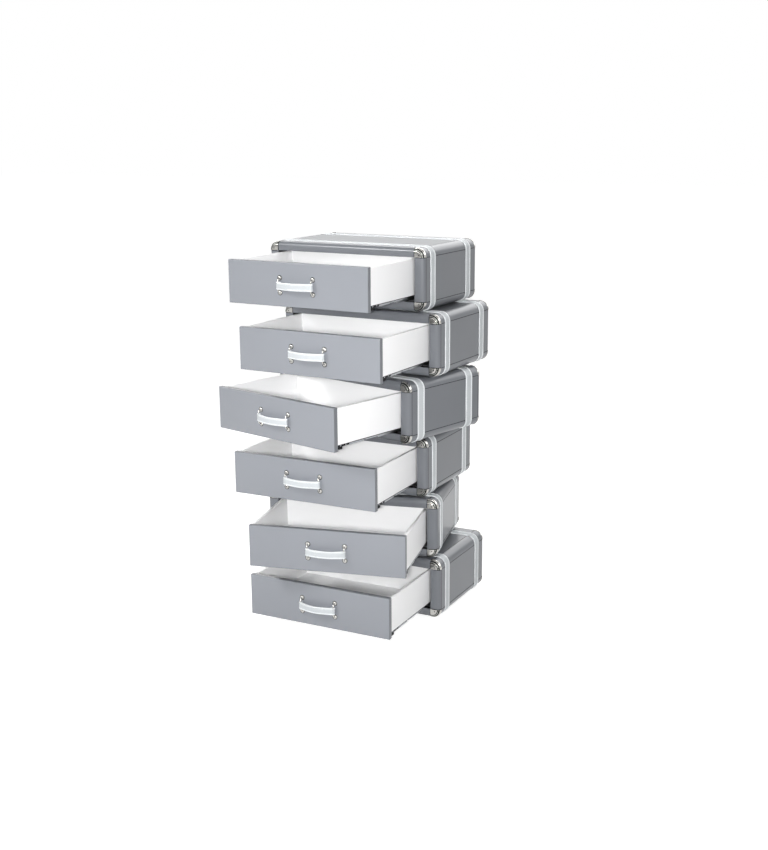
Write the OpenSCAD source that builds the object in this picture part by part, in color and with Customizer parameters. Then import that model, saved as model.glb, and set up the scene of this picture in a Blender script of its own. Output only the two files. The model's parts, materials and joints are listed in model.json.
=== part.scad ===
/* [Case] */
// Width of each case
case_w = 650; // [600:2:720]
// Depth of each case, front to back
case_d = 412; // [412:2:480]
// Height of the drawer opening
opening_h = 156.5; // [150:0.5:180]
// Thickness of the case under its opening
case_floor_t = 33; // [32:0.5:40]
// Thickness of the case over its opening
case_top_t = 33; // [32:0.5:40]
// Thickness of the case beside its opening
case_side_t = 38.5; // [37:0.5:46]
// Radius of the long rounded edges that run from front to back
edge_r = 32.5; // [28:0.5:33]
// Radius of the rounded front and rear edges
face_r = 16; // [12:0.5:18]
// Width of the seam where a flat panel meets a rounded edge
seam_w = 2; // [0.8:0.1:2.4]
// Thickness of the back panel
back_panel_t = 10; // [6:1:12]
// How far the back panel is set in from the rear face
back_panel_inset = 2; // [0:0.5:4]

/* [Bands] */
// Width of the bands that run round a case
band_w = 37; // [28:1:44]
// Height of a band's edge beads over the case
band_proud = 2.2; // [1.6:0.1:2.6]
// Height of a band's channel over the case
band_web = 1.5; // [0.8:0.1:1.5]
// Width of each edge bead
band_bead_w = 5; // [3:0.5:8]
// Distance from the front of the case to the front band
front_band_from_front = 46.5; // [40:0.5:60]
// Distance from the rear of the case to the rear band
rear_band_from_rear = 53.5; // [40:0.5:60]

/* [Corner caps] */
// Height of a cap's rim over the rounded corner
cap_proud = 1.8; // [1.4:0.1:2.2]
// Height of a cap's dome and ring over the rounded corner
cap_dome_proud = 1.2; // [0.6:0.1:1.4]
// Depth that a cap lies into the corner
cap_sunk = 1; // [0.6:0.1:2]
// Width of the rim, seen from the front
cap_rim_w = 3; // [2.5:0.5:4]
// Width of the groove inside the rim
cap_groove_w = 3; // [2:0.5:4]
// Width of the ring inside the groove
cap_ring_w = 2.5; // [1.5:0.5:3]
// Width of the line between ring and dome
cap_line_w = 1; // [0.5:0.5:2]
// Gap between a cap and the edge of the opening
cap_edge_gap = 0.5; // [0.4:0.1:1]

/* [Drawer front] */
// Thickness of the drawer front
front_t = 18; // [14:1:20]
// Gap at each end of the drawer front
front_end_gap = 2.2; // [1.5:0.1:3]
// Gap above and below the drawer front
front_edge_gap = 2; // [1.5:0.1:2.5]
// Radius of the drawer front's softened edges
front_edge_r = 2.5; // [1.5:0.5:4]

/* [Drawer box] */
// Gap between the closed drawer box and the back panel
box_rear_gap = 10.5; // [10:0.5:20]
// Thickness of the box sides, front and back
box_t = 11; // [9:0.5:13]
// Gap between a box side and the opening
box_side_gap = 5; // [4.5:0.5:10]
// Distance from the top of the front down to the box
box_top_drop = 4.5; // [3:0.5:20]
// Distance from the foot of the front up to the box sides
box_side_rise = 22; // [20:0.5:24]
// Distance from the foot of a box side up to the box floor
box_floor_rise = 7.5; // [6:0.5:9]
// Thickness of the box floor
box_floor_t = 6; // [4:0.5:9]

/* [Runners] */
// Running gap between the members of a runner
runner_gap = 0.6; // [0.4:0.1:0.8]
// Sheet thickness of the runner members
runner_sheet = 2; // [1.5:0.1:2.2]
// Width of the upright of the cabinet member
runner_post_w = 6; // [4:0.5:8]
// Distance from the opening's side to the middle of a runner
runner_in = 33; // [32:0.5:34]
// Length of the locking clip behind the drawer front
clip_len = 58; // [50:1:60]

/* [Handle] */
// Distance between the two handle mounts
handle_spacing = 134; // [120:1:180]
// Height of the leather strap
strap_h = 26; // [20:1:32]
// Thickness of the leather strap
strap_t = 5; // [4:0.5:6]
// How far the strap's ends stand off the drawer front
strap_standoff = 12; // [11:0.5:16]
// How far the strap bows out between its ends
strap_bow = 18; // [12:1:24]
// Radius of the nickel bar that carries each strap end
bar_r = 2.5; // [2:0.1:3]
// Radius of the round foot of a handle mount
foot_r = 8; // [6:0.5:9]
// Height of the round foot of a handle mount
foot_h = 4.5; // [3:0.5:6]
// How far the handle sits below the middle of the drawer front
handle_drop = 3; // [0:1:20]

/* [Stack] */
// Gap between one case and the next, and below the lowest
stack_gap = 6; // [5.6:0.1:8]
// Clearance between the plate that joins two cases and their bands
plate_clearance = 2; // [1:0.5:20]
// Length of each floor pad
floor_pad_l = 46; // [30:1:60]
// Distance from a case's side to its floor pads
floor_pad_in = 62; // [62:1:120]

/* [Level 1, the lowest] */
// Turn of the case on level 1
level_1_yaw = 0; // [-4:0.1:4]
// How far the drawer on level 1 stands open
level_1_open = 329; // [0:1:340]

/* [Level 2] */
// Sideways place of the case on level 2
level_2_x = -55; // [-60:1:60]
// Forward or backward place of the case on level 2
level_2_y = -60; // [-60:1:60]
// Turn of the case on level 2
level_2_yaw = 12.6; // [-14.5:0.1:14.5]
// How far the drawer on level 2 stands open
level_2_open = 324; // [0:1:340]

/* [Level 3] */
// Sideways place of the case on level 3
level_3_x = -57; // [-60:1:60]
// Forward or backward place of the case on level 3
level_3_y = 1; // [-60:1:60]
// Turn of the case on level 3
level_3_yaw = 0.4; // [-14.5:0.1:14.5]
// How far the drawer on level 3 stands open
level_3_open = 327; // [0:1:340]

/* [Level 4] */
// Sideways place of the case on level 4
level_4_x = -1; // [-60:1:60]
// Forward or backward place of the case on level 4
level_4_y = -55; // [-60:1:60]
// Turn of the case on level 4
level_4_yaw = -14.1; // [-14.5:0.1:14.5]
// How far the drawer on level 4 stands open
level_4_open = 337; // [0:1:340]

/* [Level 5] */
// Sideways place of the case on level 5
level_5_x = 14; // [-60:1:60]
// Forward or backward place of the case on level 5
level_5_y = -8; // [-60:1:60]
// Turn of the case on level 5
level_5_yaw = -2.7; // [-14.5:0.1:14.5]
// How far the drawer on level 5 stands open
level_5_open = 339; // [0:1:340]

/* [Level 6, the highest] */
// Sideways place of the case on level 6
level_6_x = -43; // [-60:1:60]
// Forward or backward place of the case on level 6
level_6_y = -6; // [-60:1:60]
// Turn of the case on level 6
level_6_yaw = -2.9; // [-14.5:0.1:14.5]
// How far the drawer on level 6 stands open
level_6_open = 311; // [0:1:340]

/* [Hidden] */
$fn = 48;
cut = 1;
seam_d = 1;
levels = 6;

case_h = case_floor_t + opening_h + case_top_t;
opening_w = case_w - 2 * case_side_t;
half_open = opening_w / 2;
pitch = case_h + stack_gap;

level_x = [0, level_2_x, level_3_x, level_4_x, level_5_x, level_6_x];
level_y = [0, level_2_y, level_3_y, level_4_y, level_5_y, level_6_y];
level_yaw = [level_1_yaw, level_2_yaw, level_3_yaw, level_4_yaw, level_5_yaw, level_6_yaw];
level_open = [level_1_open, level_2_open, level_3_open, level_4_open, level_5_open, level_6_open];

cap_side = case_side_t - edge_r - cap_edge_gap;

front_w = opening_w - 2 * front_end_gap;
front_h = opening_h - 2 * front_edge_gap;
front_z = case_floor_t + front_edge_gap;
front_y = -case_d / 2;

box_y = front_y + front_t;
box_len = case_d - front_t - box_rear_gap - back_panel_t - back_panel_inset;
box_w = opening_w - 2 * box_side_gap;
box_side_z = front_z + box_side_rise;
box_top_z = front_z + front_h - box_top_drop;
box_floor_z = box_side_z + box_floor_rise;

// Runner sections, from the cabinet member's upright outwards
mid_hole_w = runner_post_w + 2 * runner_gap;
mid_w = mid_hole_w + 2 * runner_sheet;
rail_hole_w = mid_w + 2 * runner_gap;
rail_w = rail_hole_w + 2 * runner_sheet;
rail_top_z = box_floor_z;
mid_top_z = rail_top_z - runner_sheet - runner_gap;
post_top_z = mid_top_z - runner_sheet - runner_gap;
runner_foot_gap = 4;
mid_foot_z = case_floor_t + runner_sheet + runner_foot_gap;
rail_foot_z = mid_foot_z + 1.5 * runner_foot_gap;
runner_x = half_open - runner_in;
runner_end_gap = 2;
rail_y = box_y + clip_len + runner_end_gap;
rail_end_y = box_y + box_len;
mid_y = rail_y;
mid_end_y = rail_end_y - 4 * runner_end_gap;
cabinet_y = box_y + 2 * runner_end_gap;
post_y = rail_y;
cabinet_end_y = mid_end_y + runner_end_gap;
cabinet_flange_h = 16;
clip_z = rail_foot_z + runner_sheet / 2;
clip_wing_h = 7.5;
clip_wing_inset = 1;
lever_w = 13;
lever_from = 8;
lever_l = 16;
lever_h = 5.5;
knob_from = 118;
knob_l = 8;
knob_h = 7;

handle_z = front_z + front_h / 2 - handle_drop;
bar_x = handle_spacing / 2;
strap_r = (bar_x * bar_x + strap_bow * strap_bow) / (2 * strap_bow);
strap_centre_y = front_y - strap_standoff - strap_bow + strap_r;
strap_eye_gap = 0.3;
strap_eye_wall = 3.4;
strap_eye_r = bar_r + strap_eye_gap + strap_eye_wall;
bar_half = strap_h / 2 + strap_eye_gap;

pad_margin = 1.5;

// Plate between two cases: it stays clear of the bands of both
shifts = [for (i = [1 : levels - 1]) norm([level_x[i] - level_x[i - 1], level_y[i] - level_y[i - 1]]) / 2];
band_reach = max(front_band_from_front, rear_band_from_rear) + band_w;
stack_plate_r = case_d / 2 - band_reach - max(shifts) - plate_clearance;

// Extent of the whole stack, so that the origin is at the middle of its base
side_reach = face_r + cap_proud;
face_reach = face_r + cap_dome_proud;
function turned_x(lx, ly, a) = lx * cos(a) - ly * sin(a);
function turned_y(lx, ly, a) = lx * sin(a) + ly * cos(a);
spots = [for (i = [0 : levels - 1], sx = [-1, 1], sy = [-1, 1])
    let (lx = sx * (case_w / 2 - face_r), ly = sy * (case_d / 2 - face_r), a = level_yaw[i])
    [level_x[i] + turned_x(lx, ly, a), level_y[i] + turned_y(lx, ly, a)]];
fronts = [for (i = [0 : levels - 1], sx = [-1, 1])
    let (lx = sx * (front_w / 2 - front_edge_r), ly = front_y - level_open[i] + front_edge_r, a = level_yaw[i])
    [level_x[i] + turned_x(lx, ly, a), level_y[i] + turned_y(lx, ly, a)]];
grips = [for (i = [0 : levels - 1])
    let (ly = front_y - level_open[i] - strap_standoff - strap_bow - strap_t / 2, a = level_yaw[i])
    [level_x[i] + turned_x(0, ly, a), level_y[i] + turned_y(0, ly, a)]];
low_x = min(min([for (p = spots) p[0] - side_reach]), min([for (p = fronts) p[0] - front_edge_r]));
high_x = max(max([for (p = spots) p[0] + side_reach]), max([for (p = fronts) p[0] + front_edge_r]));
low_y = min(min([for (p = fronts) p[1] - front_edge_r]), min([for (p = grips) p[1]]));
high_y = max([for (p = spots) p[1] + face_reach]);
origin_x = (low_x + high_x) / 2;
origin_y = (low_y + high_y) / 2;
echo(origin_x = origin_x, origin_y = origin_y, low = [low_x, low_y], high = [high_x, high_y]);

module at_level(i) {
    translate([level_x[i - 1] - origin_x, level_y[i - 1] - origin_y, stack_gap + (i - 1) * pitch])
        rotate([0, 0, level_yaw[i - 1]])
            children();
}

module at_drawer(i, share = 1) {
    at_level(i)
        translate([0, -share * level_open[i - 1], 0])
            children();
}

module on_both_sides() {
    children();
    mirror([1, 0, 0])
        children();
}

module on_each_corner() {
    for (sx = [0, 1], sy = [0, 1], sz = [0, 1])
        translate([0, 0, case_h / 2])
            mirror([sx, 0, 0])
                mirror([0, sy, 0])
                    mirror([0, 0, sz])
                        translate([case_w / 2 - edge_r, case_d / 2 - face_r, case_h / 2 - edge_r])
                            children();
}

module slab(from, to) {
    translate(from)
        cube(to - from);
}

module rounded_rect(w, h, r) {
    square([w - 2 * r, h], center = true);
    square([w, h - 2 * r], center = true);
    for (sx = [-1, 1], sy = [-1, 1])
        translate([sx * (w / 2 - r), sy * (h / 2 - r)])
            circle(r);
}

// Section of a case across its depth, grown by some amount
module case_section(grow, from_y, to_y) {
    translate([0, to_y, case_h / 2])
        rotate([90, 0, 0])
            linear_extrude(height = to_y - from_y)
                rounded_rect(case_w + 2 * grow, case_h + 2 * grow, edge_r + grow);
}

// Beam from side to side, with the rounded front and rear edges
module cross_beam(w, grow) {
    translate([-w / 2, 0, case_h / 2])
        rotate([90, 0, 90])
            linear_extrude(height = w)
                rounded_rect(case_d + 2 * grow, case_h + 2 * grow, face_r + grow);
}

// Section of a rounded corner, from the middle of the long edge's curve outwards
module corner_section(grow) {
    flat = edge_r - face_r;
    square([flat, face_r + grow]);
    intersection() {
        translate([flat, 0])
            circle(face_r + grow);
        square([edge_r + grow, face_r + grow]);
    }
}

module case_body() {
    inner_d = case_d - 2 * face_r;
    inner_w = case_w - 2 * edge_r;
    inner_h = case_h - 2 * edge_r;
    case_section(0, -inner_d / 2, inner_d / 2);
    cross_beam(inner_w - 2 * cap_side, 0);
    cross_beam(inner_w, -cap_sunk);
    translate([0, 0, edge_r])
        linear_extrude(height = inner_h)
            rounded_rect(case_w, case_d, face_r);
    on_each_corner()
        rotate([-90, 0, 0])
            rotate_extrude()
                corner_section(-cap_sunk);
}

// Groove round one flat panel, between it and the rounded edges
module panel_seam(long, wide) {
    difference() {
        cube([long + seam_w, wide + seam_w, 2 * seam_d], center = true);
        cube([long - seam_w, wide - seam_w, 2 * seam_d + cut], center = true);
    }
}

module seams() {
    flat_w = case_w - 2 * edge_r;
    flat_d = case_d - 2 * face_r;
    flat_h = case_h - 2 * edge_r;
    for (z = [0, case_h])
        translate([0, 0, z])
            panel_seam(flat_w, flat_d);
    on_both_sides()
        translate([case_w / 2, 0, case_h / 2])
            rotate([0, 90, 0])
                panel_seam(flat_h, flat_d);
}

module case_shell(i) {
    color("slategray")
        at_level(i)
            difference() {
                case_body();
                slab([-half_open, -case_d / 2 - cut, case_floor_t], [half_open, case_d / 2 + cut, case_floor_t + opening_h]);
                seams();
            }
}

module band_ring(from_y, grow) {
    difference() {
        case_section(grow, from_y, from_y + band_w);
        case_section(0, from_y - cut, from_y + band_w + cut);
    }
}

module band(from_y) {
    band_ring(from_y, band_web);
    for (bead_y = [from_y, from_y + band_w - band_bead_w])
        difference() {
            case_section(band_proud, bead_y, bead_y + band_bead_w);
            case_section(0, bead_y - cut, bead_y + band_bead_w + cut);
        }
}

module case_bands(i) {
    color("gainsboro")
        at_level(i) {
            band(-case_d / 2 + front_band_from_front);
            band(case_d / 2 - rear_band_from_rear - band_w);
        }
}

module cap_ring(from_r, to_r, grow) {
    intersection() {
        corner_section(grow);
        translate([from_r, 0])
            square([to_r - from_r, face_r + grow + cut]);
    }
}

// Section of a cap: a thin skin with a raised rim, a raised ring and a raised dome
module cap_section() {
    rim_from = edge_r - cap_rim_w;
    ring_to = rim_from - cap_groove_w;
    ring_from = ring_to - cap_ring_w;
    difference() {
        union() {
            corner_section(0);
            cap_ring(rim_from, edge_r + cap_proud + cut, cap_proud);
            cap_ring(ring_from, ring_to, cap_dome_proud);
            cap_ring(0, ring_from - cap_line_w, cap_dome_proud);
        }
        corner_section(-cap_sunk);
    }
}

module corner_cap() {
    rotate([-90, 0, 0])
        rotate_extrude(angle = -90)
            cap_section();
    rotate([0, -90, 0])
        linear_extrude(height = cap_side)
            cap_section();
}

module corner_caps() {
    color("silver")
        for (i = [1 : levels])
            at_level(i)
                on_each_corner()
                    corner_cap();
}

module back_panels() {
    color("dimgray")
        for (i = [1 : levels])
            at_level(i)
                slab([-half_open, case_d / 2 - back_panel_inset - back_panel_t, case_floor_t],
                    [half_open, case_d / 2 - back_panel_inset, case_floor_t + opening_h]);
}

module cabinet_member() {
    x = runner_x;
    slab([x - runner_post_w / 2, cabinet_y, case_floor_t], [half_open, cabinet_end_y, case_floor_t + runner_sheet]);
    slab([x - runner_post_w / 2, post_y, case_floor_t], [x + runner_post_w / 2, cabinet_end_y, post_top_z]);
    slab([half_open - runner_sheet, cabinet_y, case_floor_t], [half_open, cabinet_end_y, case_floor_t + cabinet_flange_h]);
}

module runner_cabinet_members() {
    color("gray")
        for (i = [1 : levels])
            at_level(i)
                on_both_sides()
                    cabinet_member();
}

module channel(w, hole_w, from_y, to_y, foot_z, top_z) {
    difference() {
        slab([runner_x - w / 2, from_y, foot_z], [runner_x + w / 2, to_y, top_z]);
        slab([runner_x - hole_w / 2, from_y - cut, foot_z - cut], [runner_x + hole_w / 2, to_y + cut, top_z - runner_sheet]);
    }
}

module runner_middle_members(i) {
    color("darkgray")
        at_drawer(i, 1 / 2)
            on_both_sides()
                channel(mid_w, mid_hole_w, mid_y, mid_end_y, mid_foot_z, mid_top_z);
}

module runner_drawer_members(i) {
    color("lightgray")
        at_drawer(i)
            on_both_sides()
                channel(rail_w, rail_hole_w, rail_y, rail_end_y, rail_foot_z, rail_top_z);
}

module clip() {
    inner_x = runner_x - rail_w / 2;
    box_in = box_w / 2 - box_t;
    slab([inner_x, box_y, clip_z], [box_in, box_y + clip_len, box_floor_z]);
    slab([box_in, box_y, box_side_z - clip_wing_h], [box_w / 2 - clip_wing_inset, box_y + clip_len, box_side_z]);
    slab([box_w / 2 - clip_wing_inset - lever_w, box_y + lever_from, clip_z - lever_h],
        [box_w / 2 - clip_wing_inset, box_y + lever_from + lever_l, box_side_z - clip_wing_h / 2]);
    slab([runner_x + rail_w / 2, box_y + knob_from - front_t, box_side_z - knob_h],
        [box_w / 2 - 2 * clip_wing_inset, box_y + knob_from - front_t + knob_l, box_side_z]);
}

module runner_clips(i) {
    color("black")
        at_drawer(i)
            on_both_sides()
                clip();
}

module drawer_box(i) {
    end_y = box_y + box_len;
    inner = box_w / 2 - box_t;
    color("white")
        at_drawer(i) {
            on_both_sides()
                slab([inner, box_y, box_side_z], [box_w / 2, end_y, box_top_z]);
            slab([-inner, box_y, box_floor_z], [inner, box_y + box_t, box_top_z]);
            slab([-inner, end_y - box_t, box_floor_z], [inner, end_y, box_top_z]);
            slab([-inner, box_y, box_floor_z], [inner, end_y, box_floor_z + box_floor_t]);
        }
}

module drawer_front(i) {
    color("lightslategray")
        at_drawer(i)
            translate([0, front_y, front_z + front_h / 2])
                intersection() {
                    translate([0, front_t, 0])
                        rotate([90, 0, 0])
                            linear_extrude(height = front_t)
                                rounded_rect(front_w, front_h, front_edge_r);
                    translate([-front_w / 2, front_t, 0])
                        rotate([90, 0, 90])
                            linear_extrude(height = front_w)
                                rounded_rect(2 * front_t, front_h, front_edge_r);
                    translate([0, front_t, -front_h / 2])
                        linear_extrude(height = front_h)
                            rounded_rect(front_w, 2 * front_t, front_edge_r);
                }
}

module handle_strap(i) {
    reach = bar_x + strap_eye_r + cut;
    color("whitesmoke")
        at_drawer(i)
            translate([0, 0, handle_z])
                difference() {
                    union() {
                        intersection() {
                            translate([0, strap_centre_y, 0])
                                difference() {
                                    cylinder(h = strap_h, r = strap_r + strap_t / 2, center = true);
                                    cylinder(h = strap_h + 2 * cut, r = strap_r - strap_t / 2, center = true);
                                }
                            slab([-bar_x, front_y - strap_standoff - strap_bow - strap_t, -strap_h],
                                [bar_x, front_y, strap_h]);
                        }
                        on_both_sides()
                            translate([bar_x, front_y - strap_standoff, 0])
                                cylinder(h = strap_h, r = strap_eye_r, center = true);
                    }
                    on_both_sides()
                        translate([bar_x, front_y - strap_standoff, 0])
                            cylinder(h = strap_h + 2 * cut, r = bar_r + strap_eye_gap, center = true);
                }
}

module mount_foot() {
    ball_r = (foot_r * foot_r + foot_h * foot_h) / (2 * foot_h);
    intersection() {
        translate([0, ball_r - foot_h, 0])
            sphere(ball_r);
        slab([-foot_r - cut, -foot_h - cut, -foot_r - cut], [foot_r + cut, 0, foot_r + cut]);
    }
}

module mount_elbow() {
    intersection() {
        rotate([0, 90, 0])
            rotate_extrude()
                translate([strap_standoff, 0])
                    circle(bar_r);
        slab([-bar_r - cut, -strap_standoff - bar_r - cut, 0], [bar_r + cut, 0, strap_standoff + bar_r + cut]);
    }
}

module handle_mounts(i) {
    color("silver")
        at_drawer(i)
            translate([0, front_y, handle_z])
                on_both_sides()
                    translate([bar_x, 0, 0]) {
                        translate([0, -strap_standoff, 0])
                            cylinder(h = 2 * bar_half, r = bar_r, center = true);
                        for (turn = [0, 1])
                            mirror([0, 0, turn])
                                translate([0, 0, bar_half]) {
                                    mount_elbow();
                                    translate([0, 0, strap_standoff])
                                        mount_foot();
                                }
                    }
}

module stack_plates() {
    color("black")
        for (i = [1 : levels - 1])
            translate([(level_x[i - 1] + level_x[i]) / 2 - origin_x, (level_y[i - 1] + level_y[i]) / 2 - origin_y,
                i * pitch])
                cylinder(h = stack_gap, r = stack_plate_r);
}

module floor_pads() {
    pad_w = band_w - 2 * pad_margin;
    front_pad_y = -case_d / 2 + front_band_from_front + band_w / 2;
    rear_pad_y = case_d / 2 - rear_band_from_rear - band_w / 2;
    color("black")
        at_level(1)
            on_both_sides()
                for (pad_y = [front_pad_y, rear_pad_y])
                    slab([case_w / 2 - floor_pad_in - floor_pad_l / 2, pad_y - pad_w / 2, -stack_gap],
                        [case_w / 2 - floor_pad_in + floor_pad_l / 2, pad_y + pad_w / 2, -band_proud]);
}

module case_1_shell() { case_shell(1); }
module case_1_bands() { case_bands(1); }
module runner_1_middle_members() { runner_middle_members(1); }
module runner_1_drawer_members() { runner_drawer_members(1); }
module runner_1_clips() { runner_clips(1); }
module drawer_1_box() { drawer_box(1); }
module drawer_1_front() { drawer_front(1); }
module handle_1_strap() { handle_strap(1); }
module handle_1_mounts() { handle_mounts(1); }
module case_2_shell() { case_shell(2); }
module case_2_bands() { case_bands(2); }
module runner_2_middle_members() { runner_middle_members(2); }
module runner_2_drawer_members() { runner_drawer_members(2); }
module runner_2_clips() { runner_clips(2); }
module drawer_2_box() { drawer_box(2); }
module drawer_2_front() { drawer_front(2); }
module handle_2_strap() { handle_strap(2); }
module handle_2_mounts() { handle_mounts(2); }
module case_3_shell() { case_shell(3); }
module case_3_bands() { case_bands(3); }
module runner_3_middle_members() { runner_middle_members(3); }
module runner_3_drawer_members() { runner_drawer_members(3); }
module runner_3_clips() { runner_clips(3); }
module drawer_3_box() { drawer_box(3); }
module drawer_3_front() { drawer_front(3); }
module handle_3_strap() { handle_strap(3); }
module handle_3_mounts() { handle_mounts(3); }
module case_4_shell() { case_shell(4); }
module case_4_bands() { case_bands(4); }
module runner_4_middle_members() { runner_middle_members(4); }
module runner_4_drawer_members() { runner_drawer_members(4); }
module runner_4_clips() { runner_clips(4); }
module drawer_4_box() { drawer_box(4); }
module drawer_4_front() { drawer_front(4); }
module handle_4_strap() { handle_strap(4); }
module handle_4_mounts() { handle_mounts(4); }
module case_5_shell() { case_shell(5); }
module case_5_bands() { case_bands(5); }
module runner_5_middle_members() { runner_middle_members(5); }
module runner_5_drawer_members() { runner_drawer_members(5); }
module runner_5_clips() { runner_clips(5); }
module drawer_5_box() { drawer_box(5); }
module drawer_5_front() { drawer_front(5); }
module handle_5_strap() { handle_strap(5); }
module handle_5_mounts() { handle_mounts(5); }
module case_6_shell() { case_shell(6); }
module case_6_bands() { case_bands(6); }
module runner_6_middle_members() { runner_middle_members(6); }
module runner_6_drawer_members() { runner_drawer_members(6); }
module runner_6_clips() { runner_clips(6); }
module drawer_6_box() { drawer_box(6); }
module drawer_6_front() { drawer_front(6); }
module handle_6_strap() { handle_strap(6); }
module handle_6_mounts() { handle_mounts(6); }

case_1_shell();
case_1_bands();
runner_1_middle_members();
runner_1_drawer_members();
runner_1_clips();
drawer_1_box();
drawer_1_front();
handle_1_strap();
handle_1_mounts();
case_2_shell();
case_2_bands();
runner_2_middle_members();
runner_2_drawer_members();
runner_2_clips();
drawer_2_box();
drawer_2_front();
handle_2_strap();
handle_2_mounts();
case_3_shell();
case_3_bands();
runner_3_middle_members();
runner_3_drawer_members();
runner_3_clips();
drawer_3_box();
drawer_3_front();
handle_3_strap();
handle_3_mounts();
case_4_shell();
case_4_bands();
runner_4_middle_members();
runner_4_drawer_members();
runner_4_clips();
drawer_4_box();
drawer_4_front();
handle_4_strap();
handle_4_mounts();
case_5_shell();
case_5_bands();
runner_5_middle_members();
runner_5_drawer_members();
runner_5_clips();
drawer_5_box();
drawer_5_front();
handle_5_strap();
handle_5_mounts();
case_6_shell();
case_6_bands();
runner_6_middle_members();
runner_6_drawer_members();
runner_6_clips();
drawer_6_box();
drawer_6_front();
handle_6_strap();
handle_6_mounts();
corner_caps();
back_panels();
runner_cabinet_members();
stack_plates();
floor_pads();
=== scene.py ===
import itertools
import json
import math

import bmesh
import bpy
from mathutils import Matrix, Vector


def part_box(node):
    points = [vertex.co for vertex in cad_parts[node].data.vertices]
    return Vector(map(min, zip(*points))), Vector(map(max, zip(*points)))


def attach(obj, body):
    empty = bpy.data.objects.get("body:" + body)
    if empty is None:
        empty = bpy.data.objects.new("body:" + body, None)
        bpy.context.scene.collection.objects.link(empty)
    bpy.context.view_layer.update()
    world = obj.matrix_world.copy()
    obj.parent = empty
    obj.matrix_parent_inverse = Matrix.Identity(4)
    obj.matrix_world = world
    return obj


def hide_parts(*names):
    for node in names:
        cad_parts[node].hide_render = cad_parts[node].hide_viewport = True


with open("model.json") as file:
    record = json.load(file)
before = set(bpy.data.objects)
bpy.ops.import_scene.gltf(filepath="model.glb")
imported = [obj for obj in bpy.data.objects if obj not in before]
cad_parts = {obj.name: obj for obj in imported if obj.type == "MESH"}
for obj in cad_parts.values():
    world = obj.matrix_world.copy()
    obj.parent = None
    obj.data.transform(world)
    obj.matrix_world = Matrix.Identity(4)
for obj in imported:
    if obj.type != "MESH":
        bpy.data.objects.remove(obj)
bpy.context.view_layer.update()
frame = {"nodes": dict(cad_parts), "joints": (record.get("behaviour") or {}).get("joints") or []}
mm = 0.001
joints = {joint["name"]: joint for joint in frame["joints"]}

# where each case and drawer stands, read from the frame; level 1 is the lowest
caseSize = dict(width=650 * mm, depth=412 * mm, height=222.5 * mm, edgeRadius=32.5 * mm, faceRadius=16 * mm)
levelCount = 6


def readLevel(number):
    low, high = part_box(f"case_{number}_shell")
    slide = joints[f"drawer_{number}_slide"]
    axis = Vector(slide["axis"])
    turn = math.atan2(axis.x, -axis.y)
    centre = (low + high) / 2
    place = Matrix.Translation((centre.x, centre.y, low.z)) @ Matrix.Rotation(turn, 4, "Z")
    opened = -slide["range_m"][0]
    names = {kind: f"{kind}_{number}" for kind in ("case", "drawer", "handle", "runner")}
    return dict(names, place=place, drawerPlace=place @ Matrix.Translation((0, -opened, 0)))


levels = [readLevel(number) for number in range(1, levelCount + 1)]


# colours and nodes
def srgbColor(text):
    parts = [int(text[k:k + 2], 16) / 255 for k in (1, 3, 5)]
    linear = [part / 12.92 if part <= 0.04045 else ((part + 0.055) / 1.055) ** 2.4 for part in parts]
    return (*linear, 1.0)


def addNode(tree, kind, inputs=None, **settings):
    node = tree.nodes.new(kind)
    for name, value in settings.items():
        setattr(node, name, value)
    for key, value in (inputs or {}).items():
        if isinstance(value, bpy.types.NodeSocket):
            tree.links.new(value, node.inputs[key])
        else:
            node.inputs[key].default_value = value
    return node


# meshes; a form is a dictionary of vertices, faces and the finish of each face
def finishMesh(name, mesh, sharpAngle):
    mesh.name = name
    mesh.shade_smooth()
    mesh.set_sharp_from_angle(angle=math.radians(sharpAngle))
    thing = bpy.data.objects.new(name, mesh)
    bpy.context.scene.collection.objects.link(thing)
    return thing


def fromBmesh(name, shape, materials, place, sharpAngle):
    mesh = bpy.data.meshes.new(name)
    bmesh.ops.recalc_face_normals(shape, faces=shape.faces[:])
    shape.to_mesh(mesh)
    shape.free()
    for material in materials:
        mesh.materials.append(material)
    mesh.transform(place)
    return finishMesh(name, mesh, sharpAngle)


def meshObject(name, form, materials, place, sharpAngle, merge=0.0):
    mesh = bpy.data.meshes.new(name)
    mesh.from_pydata([tuple(v) for v in form["vertices"]], [], form["faces"])
    mesh.polygons.foreach_set("material_index", form["finishes"])
    shape = bmesh.new()
    shape.from_mesh(mesh)
    bpy.data.meshes.remove(mesh)
    if merge:
        bmesh.ops.remove_doubles(shape, verts=shape.verts[:], dist=merge)
    return fromBmesh(name, shape, materials, place, sharpAngle)


def settle(thing, body, slot, *nodes):
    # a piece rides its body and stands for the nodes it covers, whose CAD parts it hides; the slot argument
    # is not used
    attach(thing, body)
    if nodes:
        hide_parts(*nodes)


def addBoard(shape, low, high, radius, segments=2, materialIndex=0):
    # one board as a closed block with softened edges
    low, high = Vector(low), Vector(high)
    corners = bmesh.ops.create_cube(shape, size=1.0)["verts"]
    bmesh.ops.scale(shape, vec=high - low, verts=corners)
    bmesh.ops.translate(shape, vec=(low + high) / 2, verts=corners)
    edges = list({edge for vertex in corners for edge in vertex.link_edges})
    for face in {face for vertex in corners for face in vertex.link_faces}:
        face.material_index = materialIndex
    bmesh.ops.bevel(shape, geom=edges + corners, offset=radius, segments=segments, profile=0.5,
                    affect="EDGES", material=materialIndex, clamp_overlap=True)


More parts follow.
